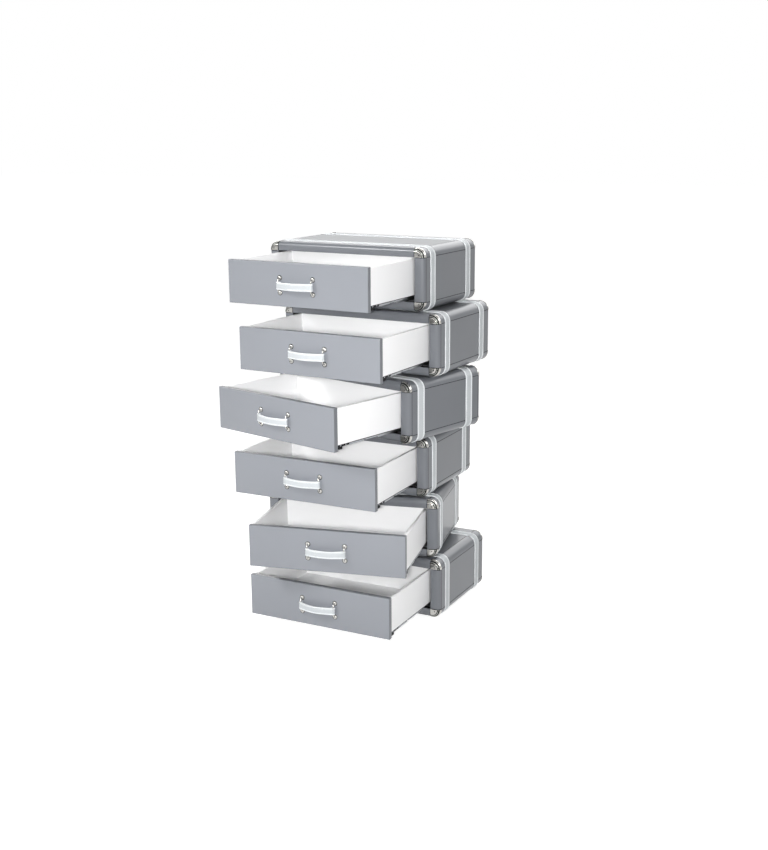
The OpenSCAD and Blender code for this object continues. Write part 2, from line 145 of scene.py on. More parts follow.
def loftLoops(loops, ends="capped"):
    # quads between loops of equal length, each closed on itself; the ends are capped, joined or left open
    count = len(loops[0])
    faces = []
    for row in range(len(loops) if ends == "joined" else len(loops) - 1):
        first, after = row * count, (row + 1) % len(loops) * count
        for k in range(count):
            nextK = (k + 1) % count
            faces.append((first + k, first + nextK, after + nextK, after + k))
    if ends == "capped":
        last = (len(loops) - 1) * count
        faces += [tuple(reversed(range(count))), tuple(range(last, last + count))]
    return [point for loop in loops for point in loop], faces


def turned(profile, sides, up=Vector((0, 0, 1))):
    # a closed form turned about the Z axis from (radius, height) pairs, then stood on another axis
    stood = Vector((0, 0, 1)).rotation_difference(up).to_matrix()
    turns = [2 * math.pi * n / sides for n in range(sides)]
    loops = [[stood @ Vector((r * math.cos(a), r * math.sin(a), h)) for a in turns] for r, h in profile]
    return loftLoops(loops)


def addForm(whole, made, base, finish):
    # one more closed form with its own finish, moved to its base
    vertices, faces = made
    first = len(whole["vertices"])
    whole["vertices"] += [base + point for point in vertices]
    whole["faces"] += [tuple(first + k for k in face) for face in faces]
    whole["finishes"] += [finish] * len(faces)


def rectCorners(halfWidth, halfHeight):
    # the four corners of a rectangle about the origin, with the angle at which the arc of each one starts
    signs = ((1, 1), (-1, 1), (-1, -1), (1, -1))
    return [(sx * halfWidth, sy * halfHeight, k * math.pi / 2) for k, (sx, sy) in enumerate(signs)]


# geometry node trees for what repeats or follows a path
def startTree(name, inputs):
    # gives the tree, the identifiers of its inputs, their sockets and the path's "facing" attribute
    tree = bpy.data.node_groups.new(name, "GeometryNodeTree")
    identifiers = {}
    for label, kind in inputs.items():
        made = tree.interface.new_socket(name=label, in_out="INPUT", socket_type="NodeSocket" + kind)
        identifiers[label] = made.identifier
    tree.interface.new_socket(name="Geometry", in_out="OUTPUT", socket_type="NodeSocketGeometry")
    facing = addNode(tree, "GeometryNodeInputNamedAttribute", {"Name": "facing"}, data_type="FLOAT_VECTOR")
    return tree, identifiers, addNode(tree, "NodeGroupInput").outputs, facing.outputs["Attribute"]


def endTree(tree, geometry, finish):
    real = addNode(tree, "GeometryNodeRealizeInstances", {"Geometry": geometry})
    finished = addNode(tree, "GeometryNodeSetMaterial",
                       {"Geometry": real.outputs["Geometry"], "Material": finish})
    addNode(tree, "NodeGroupOutput", {"Geometry": finished.outputs["Geometry"]})


def repeatAlongTree():
    # a small piece at even steps: its X follows the path and its Z stands on the path's "facing" attribute
    inputs = dict(Geometry="Geometry", Piece="Object", Spacing="Float", Finish="Material")
    tree, identifiers, given, facing = startTree("RepeatAlongPaths", inputs)
    curve = addNode(tree, "GeometryNodeMeshToCurve", {"Mesh": given["Geometry"]})
    spaced = addNode(tree, "GeometryNodeResampleCurve",
                     {"Curve": curve.outputs["Curve"], "Length": given["Spacing"]}, mode="LENGTH")
    outward = addNode(tree, "FunctionNodeAlignRotationToVector", {"Vector": facing}, axis="Z")
    tangent = addNode(tree, "GeometryNodeInputTangent")
    lying = addNode(tree, "FunctionNodeAlignRotationToVector",
                    {"Rotation": outward.outputs[0], "Vector": tangent.outputs[0]}, axis="X", pivot_axis="Z")
    piece = addNode(tree, "GeometryNodeObjectInfo", {"Object": given["Piece"]})
    placed = addNode(tree, "GeometryNodeInstanceOnPoints",
                     {"Points": spaced.outputs["Curve"], "Instance": piece.outputs["Geometry"],
                      "Rotation": lying.outputs[0]})
    endTree(tree, placed.outputs["Instances"], given["Finish"])
    return tree, identifiers


def setOnPointsTree():
    # a small piece on every point, with its Z on the "facing" attribute
    inputs = dict(Geometry="Geometry", Piece="Object", Finish="Material")
    tree, identifiers, given, facing = startTree("SetOnPoints", inputs)
    outward = addNode(tree, "FunctionNodeAlignRotationToVector", {"Vector": facing}, axis="Z")
    piece = addNode(tree, "GeometryNodeObjectInfo", {"Object": given["Piece"]})
    placed = addNode(tree, "GeometryNodeInstanceOnPoints",
                     {"Points": given["Geometry"], "Instance": piece.outputs["Geometry"],
                      "Rotation": outward.outputs[0]})
    endTree(tree, placed.outputs["Instances"], given["Finish"])
    return tree, identifiers


def sweepTree():
    # a profile swept along closed paths: its X stands on the "facing" attribute, its Y lies across the path
    inputs = dict(Geometry="Geometry", Profile="Object", Finish="Material")
    tree, identifiers, given, facing = startTree("SweepProfile", inputs)
    path = addNode(tree, "GeometryNodeMeshToCurve", {"Mesh": given["Geometry"]})
    aimed = addNode(tree, "GeometryNodeSetCurveNormal", {"Curve": path.outputs["Curve"], "Normal": facing},
                    mode="FREE")
    outline = addNode(tree, "GeometryNodeObjectInfo", {"Object": given["Profile"]})
    profile = addNode(tree, "GeometryNodeMeshToCurve", {"Mesh": outline.outputs["Geometry"]})
    swept = addNode(tree, "GeometryNodeCurveToMesh",
                    {"Curve": aimed.outputs["Curve"], "Profile Curve": profile.outputs["Curve"],
                     "Fill Caps": True})
    endTree(tree, swept.outputs["Mesh"], given["Finish"])
    return tree, identifiers


repeatAlong = repeatAlongTree()
setOnPoints = setOnPointsTree()
sweepAlong = sweepTree()


# what the trees work on: small source pieces, outlines and paths
def sourceObject(name, vertices, edges, faces):
    mesh = bpy.data.meshes.new(name)
    mesh.from_pydata([tuple(v) for v in vertices], edges, faces)
    if faces:
        mesh.shade_smooth()
    thing = bpy.data.objects.new(name, mesh)
    bpy.context.scene.collection.objects.link(thing)
    return thing


def outlineObject(name, outline):
    # a closed outline of (distance out from the path, distance across it) pairs
    count = len(outline)
    points = [Vector((out, across, 0)) for out, across in outline]
    return sourceObject(name, points, [(k, (k + 1) % count) for k in range(count)], [])


def pathObject(paths, closed=False, joined=True):
    # points and edges only, with the outward direction of every point kept as an attribute
    points, edges, facings = [], [], []
    for path in paths:
        first = len(points)
        points += [point for point, facing in path]
        facings += [facing.normalized() for point, facing in path]
        if joined:
            edges += [(first + k, first + k + 1) for k in range(len(path) - 1)]
        if closed:
            edges.append((first + len(path) - 1, first))
    thing = sourceObject("paths", points, edges, [])
    kept = thing.data.attributes.new("facing", "FLOAT_VECTOR", "POINT")
    kept.data.foreach_set("vector", [part for facing in facings for part in facing])
    return thing


def grown(name, base, made, values, place, sharpAngle=40, materials=None, paint=None):
    # runs a tree on its base and keeps the result as a plain mesh in the place of its case or drawer
    tree, identifiers = made
    modifier = base.modifiers.new(tree.name, "NODES")
    modifier.node_group = tree
    for label, value in values.items():
        modifier[identifiers[label]] = value
    bpy.context.view_layer.update()
    mesh = bpy.data.meshes.new_from_object(base.evaluated_get(bpy.context.evaluated_depsgraph_get()))
    base.modifiers.remove(modifier)
    bpy.data.objects.remove(base)
    if mesh.attributes.get("facing"):
        mesh.attributes.remove(mesh.attributes["facing"])
    if paint:
        mesh.materials.clear()
        for material in materials:
            mesh.materials.append(material)
        mesh.polygons.foreach_set("material_index", [paint(face.center) for face in mesh.polygons])
    mesh.transform(place)
    return finishMesh(name, mesh, sharpAngle)


# finishes, on Object coordinates, with every pattern sized in real millimetres
def newMaterial(name, color, roughness, metallic=0.0, coat=0.0, specular=0.5):
    material = bpy.data.materials.new(name)
    material.use_nodes = True
    tree = material.node_tree
    shader = tree.nodes["Principled BSDF"]
    values = {"Base Color": srgbColor(color), "Roughness": roughness, "Metallic": metallic,
              "Coat Weight": coat, "Coat Roughness": 0.08, "Specular IOR Level": specular}
    for socket, value in values.items():
        shader.inputs[socket].default_value = value
    return material, tree, shader


def usePattern(tree, shader, pattern, tones=None, bump=None, gloss=None):
    # a pattern drifts the colour between two close tones, raises the surface (strength, depth)
    # or varies its roughness between two values
    if tones:
        low, high = tones
        mix = addNode(tree, "ShaderNodeMix", {"Factor": pattern, 6: srgbColor(low), 7: srgbColor(high)},
                      data_type="RGBA")  # 6 and 7 are its two colours and output 2 is the mixed one
        tree.links.new(mix.outputs[2], shader.inputs["Base Color"])
    if bump:
        strength, depth = bump
        raised = addNode(tree, "ShaderNodeBump", {"Strength": strength, "Distance": depth, "Height": pattern})
        tree.links.new(raised.outputs["Normal"], shader.inputs["Normal"])
    if gloss:
        smooth, rough = gloss
        varied = addNode(tree, "ShaderNodeMapRange", {"Value": pattern, "To Min": smooth, "To Max": rough})
        tree.links.new(varied.outputs["Result"], shader.inputs["Roughness"])


def grainedMaterial(name, color, grains, roughness, stretch=None, **more):
    # each grain is noise whose features have about one size: (size, detail, how the shader uses it)
    material, tree, shader = newMaterial(name, color, roughness, **more)
    place = addNode(tree, "ShaderNodeTexCoord").outputs["Object"]
    if stretch:
        place = addNode(tree, "ShaderNodeMapping", {"Vector": place, "Scale": stretch}).outputs["Vector"]
    for size, detail, uses in grains:
        noise = addNode(tree, "ShaderNodeTexNoise", {"Vector": place, "Scale": 1 / size, "Detail": detail})
        usePattern(tree, shader, noise.outputs["Fac"], **uses)
    return material


def lacquerMaterial(name, low, high, roughness, coat, specular):
    # sprayed two-pack lacquer on board: even colour, faint orange peel of about 4 mm, clear gloss on top
    grains = [(180 * mm, 2.0, dict(tones=(low, high))), (4 * mm, 1.0, dict(bump=(0.06, 0.2 * mm)))]
    return grainedMaterial(name, low, grains, roughness, coat=coat, specular=specular)


def leatherMaterial(name, low, high):
    # pigmented white cowhide: pebble grain of about 0.9 mm, slow drift of tone, semi-matt finish
    material, tree, shader = newMaterial(name, low, roughness=0.42, specular=0.4)
    place = addNode(tree, "ShaderNodeTexCoord").outputs["Object"]
    pebble = addNode(tree, "ShaderNodeTexVoronoi", {"Vector": place, "Scale": 1 / (0.9 * mm)},
                     feature="DISTANCE_TO_EDGE")
    crease = addNode(tree, "ShaderNodeMapRange", {"Value": pebble.outputs["Distance"], "From Max": 0.12})
    usePattern(tree, shader, crease.outputs["Result"], bump=(0.35, 0.15 * mm))
    drift = addNode(tree, "ShaderNodeTexNoise", {"Vector": place, "Scale": 1 / (12 * mm), "Detail": 3.0})
    usePattern(tree, shader, drift.outputs["Fac"], tones=(low, high))
    return material


def threadMaterial():
    # waxed white polyester thread: plies 0.5 mm apart show as fine slanting ridges
    wavesPerUnit = 20  # how many waves a wave texture of scale 1 draws in one metre
    material, tree, shader = newMaterial("WhiteWaxedThread", "#F0F1F2", roughness=0.5)
    place = addNode(tree, "ShaderNodeTexCoord")
    ply = addNode(tree, "ShaderNodeTexWave",
                  {"Vector": place.outputs["Object"], "Scale": 1 / (0.5 * mm) / wavesPerUnit},
                  bands_direction="DIAGONAL")
    usePattern(tree, shader, ply.outputs["Fac"], bump=(0.3, 0.1 * mm))
    return material


def nickelMaterial(name, color, smooth, rough):
    # nickel plate on pressed steel: warm mirror with faint polishing marks and uneven gloss
    grains = [(15 * mm, 3.0, dict(gloss=(smooth, rough))), (3 * mm, 3.0, dict(bump=(0.12, 0.25 * mm)))]
    return grainedMaterial(name, color, grains, smooth, metallic=1.0)


caseLacquer = lacquerMaterial("GreyGlossLacquerOnMdf", "#6E7176", "#73767B",
                              roughness=0.32, coat=0.2, specular=0.3)
frontLacquer = lacquerMaterial("GreySatinLacquerOnMdf", "#8A8D93", "#8F9298",
                               roughness=0.36, coat=0.15, specular=0.35)
drawerLacquer = lacquerMaterial("WhiteSatinLacquerOnBirchPly", "#F7F7F8", "#FAFAFA",
                                roughness=0.45, coat=0.0, specular=0.25)

# black melamine inside the case, dark and slightly grained; its black is also painted shade, so the depth of
# the bay stays black
liningBlackShade = grainedMaterial("BlackMelamineLiningAndBayShade", "#0C0C0D", [
    (1.5 * mm, 2.0, dict(tones=("#060607", "#0D0D0E"), bump=(0.3, 0.1 * mm)))], roughness=0.55, specular=0.2)

# dark filler in the joints between flat panels and rounded edges, darker than filler alone so that it paints
# the shade in the grooves: matt, slightly uneven
jointFillerShade = grainedMaterial("DarkGreyJointFillerPaintedShade", "#2B2C2F", [
    (20 * mm, 3.0, dict(tones=("#242528", "#343539")))], roughness=0.7, specular=0.2)

# painted hardboard back: matt dark grey with a fine fibre mottle
backBoard = grainedMaterial("DarkGreyPaintedHardboard", "#4B4D51", [
    (2 * mm, 6.0, dict(tones=("#45474B", "#54565A"), bump=(0.25, 0.2 * mm)))], roughness=0.6)

# one white cowhide in two copies: the lighter one on the raised beads is painted highlight, the greyer one on
# the hollow web is painted shade
litBeadLeather = leatherMaterial("WhiteCowhideBeadPaintedHighlight", "#DEE2E4", "#E5E8EA")
shadedWebLeather = leatherMaterial("WhiteCowhideWebPaintedShade", "#BEC3C6", "#C7CBCE")
thread = threadMaterial()
nickel = nickelMaterial("PolishedNickelPlate", "#BCBBB7", smooth=0.1, rough=0.2)
dullNickel = nickelMaterial("SatinNickelRing", "#9C9E99", smooth=0.35, rough=0.45)
# near-black nickel for the caps' grooves, lines, gaskets and nails, the flanges of the handle feet and the
# joint nails: painted shade in hollows and round parts
shadeDarkNickel = nickelMaterial("DarkNickelPaintedShade", "#1C1C1A", smooth=0.4, rough=0.55)

# bright zinc plate on rolled strip: cool grey with streaks along the rolling direction
zincSteel = grainedMaterial("ZincPlatedRolledSteel", "#A9ACB0", [
    (1 * mm, 3.0, dict(tones=("#9A9DA1", "#B8BBBE"), bump=(0.1, 0.1 * mm)))],
    roughness=0.35, stretch=(1.0, 1 / 40, 1.0), metallic=1.0)

# moulded black nylon: matt, with a fine spark-eroded texture
blackNylon = grainedMaterial("BlackMouldedNylon", "#101011", [
    (0.6 * mm, 2.0, dict(bump=(0.3, 0.1 * mm)))], roughness=0.6, specular=0.15)

# moulded black rubber: matt and slightly dusty
blackRubber = grainedMaterial("BlackMouldedRubber", "#161617", [
    (4 * mm, 5.0, dict(tones=("#111112", "#222223"), bump=(0.2, 0.2 * mm)))], roughness=0.75)

# black powder coat on steel plate: satin with a 1 mm ripple
powderSteel = grainedMaterial("BlackPowderCoatedSteel", "#0F0F10", [
    (1 * mm, 2.0, dict(bump=(0.2, 0.1 * mm)))], roughness=0.45)
print("finishes made")


# carcass of each case
carcassShape = dict(openingWidth=573 * mm, openingHeight=156.5 * mm, openingFoot=33 * mm, arcSteps=14,
                    lipSteps=9, seamWidth=2.2 * mm, seamDepth=1.2 * mm, sharpAngle=32,
                    besideSeam=1.01,  # the seams along the edges start just past a cross seam's half width
                    mouthRadius=1.0 * mm, mouthSoft=1.2 * mm, mouthShare=0.3,  # soft edge of the opening
                    mouthEdge=0.2 * mm, paintedDepth=3 * mm)  # the lacquer runs this far into the opening
carcassFinishes = dict(lacquer=0, lining=1, joint=2)


def roundedRectLoop(width, height, radius, y, middle, seam, inset=0.0):
    # points of a rounded rectangle in the XZ plane, with two close points either side of every tangent
    steps, small = carcassShape["arcSteps"], seam / radius
    points = []
    for cx, cz, start in rectCorners(width / 2 - radius, height / 2 - radius):
        inNormal = Vector((math.cos(start), 0, math.sin(start)))
        outNormal = Vector((math.cos(start + math.pi / 2), 0, math.sin(start + math.pi / 2)))
        entry = Vector((cx, 0, cz)) + inNormal * radius
        leave = Vector((cx, 0, cz)) + outNormal * radius
        points += [entry - outNormal * seam, entry - inNormal * inset]
        for k in range(steps + 1):
            angle = start + small + (math.pi / 2 - 2 * small) * k / steps
            points.append(Vector((cx + radius * math.cos(angle), 0, cz + radius * math.sin(angle))))
        points += [leave - outNormal * inset, leave - inNormal * seam]
    return [Vector((p.x, y, p.z + middle)) for p in points]


def pushFlats(loop, depth, centre):
    # sink the straight spans of a loop, which leaves a fine groove across each flat panel
    pushed = [point.copy() for point in loop]
    for after in range(0, len(loop), len(loop) // 4):
        before = (after - 1) % len(loop)
        edge = (loop[after] - loop[before]).normalized()
        normal = Vector((edge.z, 0, -edge.x))
        if normal.dot(loop[after] - centre) < 0:
            normal = -normal
        for k in (before, after):
            pushed[k] = loop[k] - normal * depth
    return pushed


def carcassRows():
    # loops from the mouth over the front, the sides and the back and through the tunnel,
    # each with the finish of the faces behind it and the kind of seam in them
    shape, lacquer, lining = carcassShape, carcassFinishes["lacquer"], carcassFinishes["lining"]
    width, depth, height = caseSize["width"], caseSize["depth"], caseSize["height"]
    radius, faceRadius = caseSize["edgeRadius"], caseSize["faceRadius"]
    seam, soft = shape["seamWidth"] / 2, shape["mouthSoft"]
    front, rear, flat = -depth / 2, depth / 2, depth / 2 - faceRadius
    rows = []

    def mouth(y, grow, finish):
        middle = shape["openingFoot"] + shape["openingHeight"] / 2
        loop = roundedRectLoop(shape["openingWidth"] + 2 * grow, shape["openingHeight"] + 2 * grow,
                               shape["mouthRadius"] + grow, y, middle, shape["mouthEdge"])
        rows.append((loop, finish, "plain"))

    def ring(y, inset, kind="plain", seamInset=0.0, pushed=False):
        loop = roundedRectLoop(width - 2 * inset, height - 2 * inset, radius - inset, y, height / 2,
                               seam, seamInset)
        if pushed:
            loop = pushFlats(loop, shape["seamDepth"], Vector((0, 0, height / 2)))
        rows.append((loop, lacquer, kind))

    def crossSeam(y):
        ring(y - seam, 0, "cross")
        ring(y, 0, "cross", pushed=True)
        ring(y + seam, 0)

    mouth(front + shape["mouthShare"] * soft, shape["mouthShare"] * soft, lacquer)
    mouth(front, soft, lacquer)
    turns = [math.pi / 2 * k / shape["lipSteps"] for k in range(shape["lipSteps"])]
    for angle in turns:
        ring(front + faceRadius * (1 - math.cos(angle)), faceRadius * (1 - math.sin(angle)))
    crossSeam(-flat)
    ring(-flat + shape["besideSeam"] * seam, 0, "lengthwise", shape["seamDepth"])
    ring(flat - shape["besideSeam"] * seam, 0, "plain", shape["seamDepth"])
    crossSeam(flat)
    for angle in reversed(turns):
        ring(rear - faceRadius * (1 - math.cos(angle)), faceRadius * (1 - math.sin(angle)))
    mouth(rear, soft, lacquer)
    mouth(rear - soft, 0, lining)
    mouth(front + shape["paintedDepth"], 0, lacquer)
    mouth(front + soft, 0, lacquer)
    return rows


def carcassForm():
    rows = carcassRows()
    vertices, faces = loftLoops([row[0] for row in rows], "joined")
    perCorner = len(rows[0][0]) // 4
    spans = {corner * perCorner + shift for corner in range(1, 5) for shift in (-2, -1, 0)}
    shifts = (0, 1, perCorner - 3, perCorner - 2)
    edges = {corner * perCorner + shift for corner in range(4) for shift in shifts}
    # the faces of the seam grooves take the dark joint finish, which paints the shade in the grooves
    dark = dict(plain=set(), cross={k % (4 * perCorner) for k in spans}, lengthwise=edges)
    finishes = []
    for loop, finish, kind in rows:
        finishes += [carcassFinishes["joint"] if k in dark[kind] else finish for k in range(len(loop))]
    return dict(vertices=vertices, faces=faces, finishes=finishes)


carcass = carcassForm()
for level in levels:
    name = level["case"]
    thing = meshObject(f"{name}_carcass", carcass, [caseLacquer, liningBlackShade, jointFillerShade], level["place"],
                       carcassShape["sharpAngle"])
    settle(thing, "stack", "case_lacquer", f"{name}_shell")
print("carcasses made")


# leather bands round each case, swept round its section, with two rows of stitches each
bandShape = dict(width=37 * mm, frontFrom=46.5 * mm, rearFrom=53.5 * mm, web=1.3 * mm, bead=2.2 * mm,
                 beadWidth=5.5 * mm, sunk=0.3 * mm, arcSteps=20, sharpAngle=50,
                 stitchPitch=6 * mm, stitchInset=7.2 * mm, stitchShare=0.9,
                 # distance in from the band's edge, share of the bead's height
                 beadPoints=((0.0, 0.45), (0.35 * mm, 0.78), (1.2 * mm, 0.96), (2.4 * mm, 1.0),
                             (3.6 * mm, 0.96), (4.7 * mm, 0.82)),
                 # distance in from the bead, share of the web's height
                 webPoints=((0.0, 0.86), (0.5 * mm, 0.74), (3 * mm, 0.92)))
stitchShape = dict(length=3.6 * mm, width=0.8 * mm, sides=6,
                   # half a stitch in shares of its half length and half width: along, thick, lifted
                   shares=((1.0, 0.25, -0.9), (0.8, 0.8, -0.2), (0.35, 1.0, 0.25)))


def bandProfile(shape):
    # (height over the case, distance across it): two rounded beads beside a slightly hollow web
    left = [(-shape["sunk"], 0.0)] + [(up * shape["bead"], across) for across, up in shape["beadPoints"]]
    left += [(up * shape["web"], shape["beadWidth"] + across) for across, up in shape["webPoints"]]
    right = [(up, shape["width"] - across) for up, across in reversed(left)]
    return left + [(shape["web"], shape["width"] / 2)] + right


def caseLoop(grow, y):
    # one turn round a case at a depth y, standing off its surface by some height, with outward directions
    width, height, radius = (caseSize[key] for key in ("width", "height", "edgeRadius"))
    points = []
    for cx, cz, start in rectCorners(width / 2 - radius, height / 2 - radius):
        for k in range(bandShape["arcSteps"] + 1):
            angle = start + math.pi / 2 * k / bandShape["arcSteps"]
            facing = Vector((math.cos(angle), 0, math.sin(angle)))
            points.append((Vector((cx, y, height / 2 + cz)) + (radius + grow) * facing, facing))
    return points


def bandStarts():
    rear = caseSize["depth"] / 2
    return -rear + bandShape["frontFrom"], rear - bandShape["rearFrom"] - bandShape["width"]


def makeStitch():
    # one stitch: a short bulged strand whose ends dip into the leather
    half, radius, sides = stitchShape["length"] / 2, stitchShape["width"] / 2, stitchShape["sides"]
    turns = [2 * math.pi * n / sides for n in range(sides)]
    shares = list(stitchShape["shares"])
    stations = [(-along, thick, lift) for along, thick, lift in shares] + shares[::-1]
    loops = []
    for along, thick, lift in stations:
        ring = [(thick * radius * math.cos(a), thick * radius * math.sin(a) + lift * radius) for a in turns]
        loops.append([Vector((along * half, across, up)) for across, up in ring])
    vertices, faces = loftLoops(loops)
    return sourceObject("stitch", vertices, [], faces)


def sew(name, lines, closed, pitch, place, body):
    values = {"Piece": stitch, "Spacing": pitch, "Finish": thread}
    settle(grown(name, pathObject(lines, closed), repeatAlong, values, place), body, "white_leather")


def makeBands(level):
    shape, name, half = bandShape, level["case"], bandShape["width"] / 2
    profile = outlineObject("bandProfile", bandProfile(shape))
    paths = pathObject([caseLoop(0, start) for start in bandStarts()], True)

    def tone(centre):
        # the beads along both edges take the lighter leather, a painted highlight, and the web between them
        # the greyer leather, painted shade
        fromMiddle = min(abs(centre.y - start - half) for start in bandStarts())
        return 0 if half - fromMiddle < shape["beadWidth"] else 1

    bands = grown(f"{name}_leather_bands", paths, sweepAlong, {"Profile": profile, "Finish": litBeadLeather},
                  level["place"], shape["sharpAngle"], [litBeadLeather, shadedWebLeather], tone)
    bpy.data.objects.remove(profile)
    settle(bands, "stack", "white_leather", f"{name}_bands")
    insets = (shape["stitchInset"], shape["width"] - shape["stitchInset"])
    high = shape["stitchShare"] * shape["web"]
    lines = [caseLoop(high, start + inset) for start in bandStarts() for inset in insets]
    sew(f"{name}_band_stitches", lines, True, shape["stitchPitch"], level["place"], "stack")


stitch = makeStitch()
for level in levels:
    makeBands(level)
print("bands made")


# black rubber bead under each upper case, which fills most of the gap to the case below; its black is painted
# shade for the dark gap between the cases
gapShadeBeadShape = dict(inset=22 * mm, width=9 * mm, height=4.6 * mm, sunk=0.2 * mm, bend=1.2 * mm,
                     bendShare=0.3, cornerSteps=8, cornerRadius=14 * mm)


def gapShadeBeadOutline(shape):
    # (distance out, distance down): a block with softened upper corners, its foot sunk in the case
    height, bend, part = shape["height"], shape["bend"], shape["bendShare"] * shape["bend"]
    half = [(0, shape["sunk"]), (0, bend - height), (-part, part - height), (-bend, -height)]
    return half + [(-shape["width"] - out, down) for out, down in reversed(half)]


def makeGapShadeBead(level):
    shape = gapShadeBeadShape
    radius, steps = shape["cornerRadius"], shape["cornerSteps"]
    halfWidth = caseSize["width"] / 2 - caseSize["edgeRadius"]
    halfDepth = caseSize["depth"] / 2 - shape["inset"]
    path = []
    for cx, cy, start in rectCorners(halfWidth - radius, halfDepth - radius):
        for k in range(steps + 1):
            angle = start + math.pi / 2 * k / steps
            facing = Vector((math.cos(angle), math.sin(angle), 0))
            path.append((Vector((cx, cy, 0)) + radius * facing, facing))
    profile = outlineObject("baseBeadProfile", gapShadeBeadOutline(shape))
    bead = grown(level["case"] + "_base_bead", pathObject([path], True), sweepAlong,
                 {"Profile": profile, "Finish": blackRubber}, level["place"])
    bpy.data.objects.remove(profile)
    settle(bead, "stack", "black_rubber")


for level in levels[1:]:
    makeGapShadeBead(level)
print("base beads made")


# dark nail heads where the side joints meet the bands, painted shade at the ends of the seams, and screws
# round the back panels;
# a head's shares are those of its radius and height, from its edge to its top
nailShape = dict(radius=2.1 * mm, height=0.9 * mm, sunk=0.4 * mm, sides=12, before=3.4 * mm,
                 headShares=((1, 0.25), (0.86, 0.7), (0.5, 0.95), (0.15, 1)))
screwShape = dict(radius=3.4 * mm, height=1.3 * mm, sunk=0.4 * mm, sides=14, recess=1.3 * mm,
                  recessShare=0.7, recessDepth=0.8 * mm, headShares=((1, 0.3), (0.85, 0.8), (0.6, 1)))
backScrews = dict(inset=9 * mm, columns=6, rows=3, below=2 * mm)


def makeHead(name, shape):
    # a round head with its recess, if it has one
    r, h = shape["radius"], shape["height"]
    profile = [(r, -shape["sunk"])] + [(out * r, up * h) for out, up in shape["headShares"]]
    if "recess" in shape:
        inner = shape["recess"]
        profile += [(inner, h), (shape["recessShare"] * inner, h - shape["recessDepth"])]
    vertices, faces = turned(profile, shape["sides"])
    return sourceObject(name, vertices, [], faces)


def setHeads(name, head, points, finish, place, body, slot):
    # the same head on every (point, direction) pair
    values = {"Piece": head, "Finish": finish}
    settle(grown(name, pathObject([points], joined=False), setOnPoints, values, place), body, slot)


def sideNailPoints():
    width, height, radius = (caseSize[key] for key in ("width", "height", "edgeRadius"))
    return [(Vector((side * width / 2, start - nailShape["before"], z)), Vector((side, 0, 0)))
            for side in (-1, 1) for z in (radius, height - radius) for start in bandStarts()]


def backScrewPoints():
    inset, columns, rows = backScrews["inset"], backScrews["columns"], backScrews["rows"]
    halfWidth = carcassShape["openingWidth"] / 2 - inset
    low = carcassShape["openingFoot"] + inset
    high = carcassShape["openingFoot"] + carcassShape["openingHeight"] - inset
    y = caseSize["depth"] / 2 - backScrews["below"]
    points = []
    for k in range(columns):
        x = -halfWidth + 2 * halfWidth * k / (columns - 1)
        points += [(x, low), (x, high)]
    for k in range(1, rows - 1):
        z = low + (high - low) * k / (rows - 1)
        points += [(-halfWidth, z), (halfWidth, z)]
    return [(Vector((x, y, z)), Vector((0, 1, 0))) for x, z in points]


nail, screw = makeHead("nail", nailShape), makeHead("screw", screwShape)
for level in levels:
    name, place = level["case"], level["place"]
    setHeads(f"{name}_joint_nails", nail, sideNailPoints(), shadeDarkNickel, place, "stack", "black_steel")
    setHeads(f"{name}_back_screws", screw, backScrewPoints(), zincSteel, place, "stack", "zinc_steel")
print("nails and screws made")


# nickel corner caps: a raised dome, a dull ring and a rim round each rounded corner, with a dark gasket; the
# dark finish on the gasket, the grooves and the fine lines is painted shade
capShape = dict(flat=16.5 * mm, side=5.5 * mm, sunk=0.7 * mm, gasket=2.4 * mm, gasketHeight=0.35 * mm,
                steps=18, sharpAngle=38, merge=0.001 * mm,
                # how far each zone reaches from the corner's axis along its surface, and the widths of edges
                zones=dict(dome=21.6 * mm, line=23.6 * mm, ring=27.0 * mm, groove=31.6 * mm, rim=41.4 * mm,
                           domeEdge=0.4 * mm, ringEdge=0.6 * mm, grooveEdge=0.5 * mm),
                # heights over the case, then shares of the dome's height
                heights=dict(dome=1.2 * mm, rim=1.8 * mm, groove=0.05 * mm, domeFall=0.3, domeEdge=0.62,
                             line=0.15, ringFoot=0.3, ringRise=0.6, ringEdge=0.25),
                # places across each zone, on the rim with their shares of its height
                domeShares=(0.0, 0.3, 0.55, 0.75, 0.88, 0.96), ringShares=(0.0, 0.15, 0.35, 0.65, 0.85),
                rimShares=((0.0, 0.3), (0.06, 0.7), (0.15, 0.9), (0.35, 1.0), (0.7, 0.97), (0.88, 0.85),
                           (0.96, 0.6), (1.0, 0.3)),
                # two nails by reach from the corner's axis, angle and radius, and their (share, height) head
                nails=((13.5 * mm, 31, 2.3 * mm), (25.4 * mm, 13, 2.5 * mm)), nailSeat=0.95 * mm,
                nailHead=((1, -0.8 * mm), (1, 0.1 * mm), (0.8, 0.25 * mm), (0.3, 0.35 * mm)), nailSides=16)
capFinishes = dict(polished=0, dark=1, dull=2)


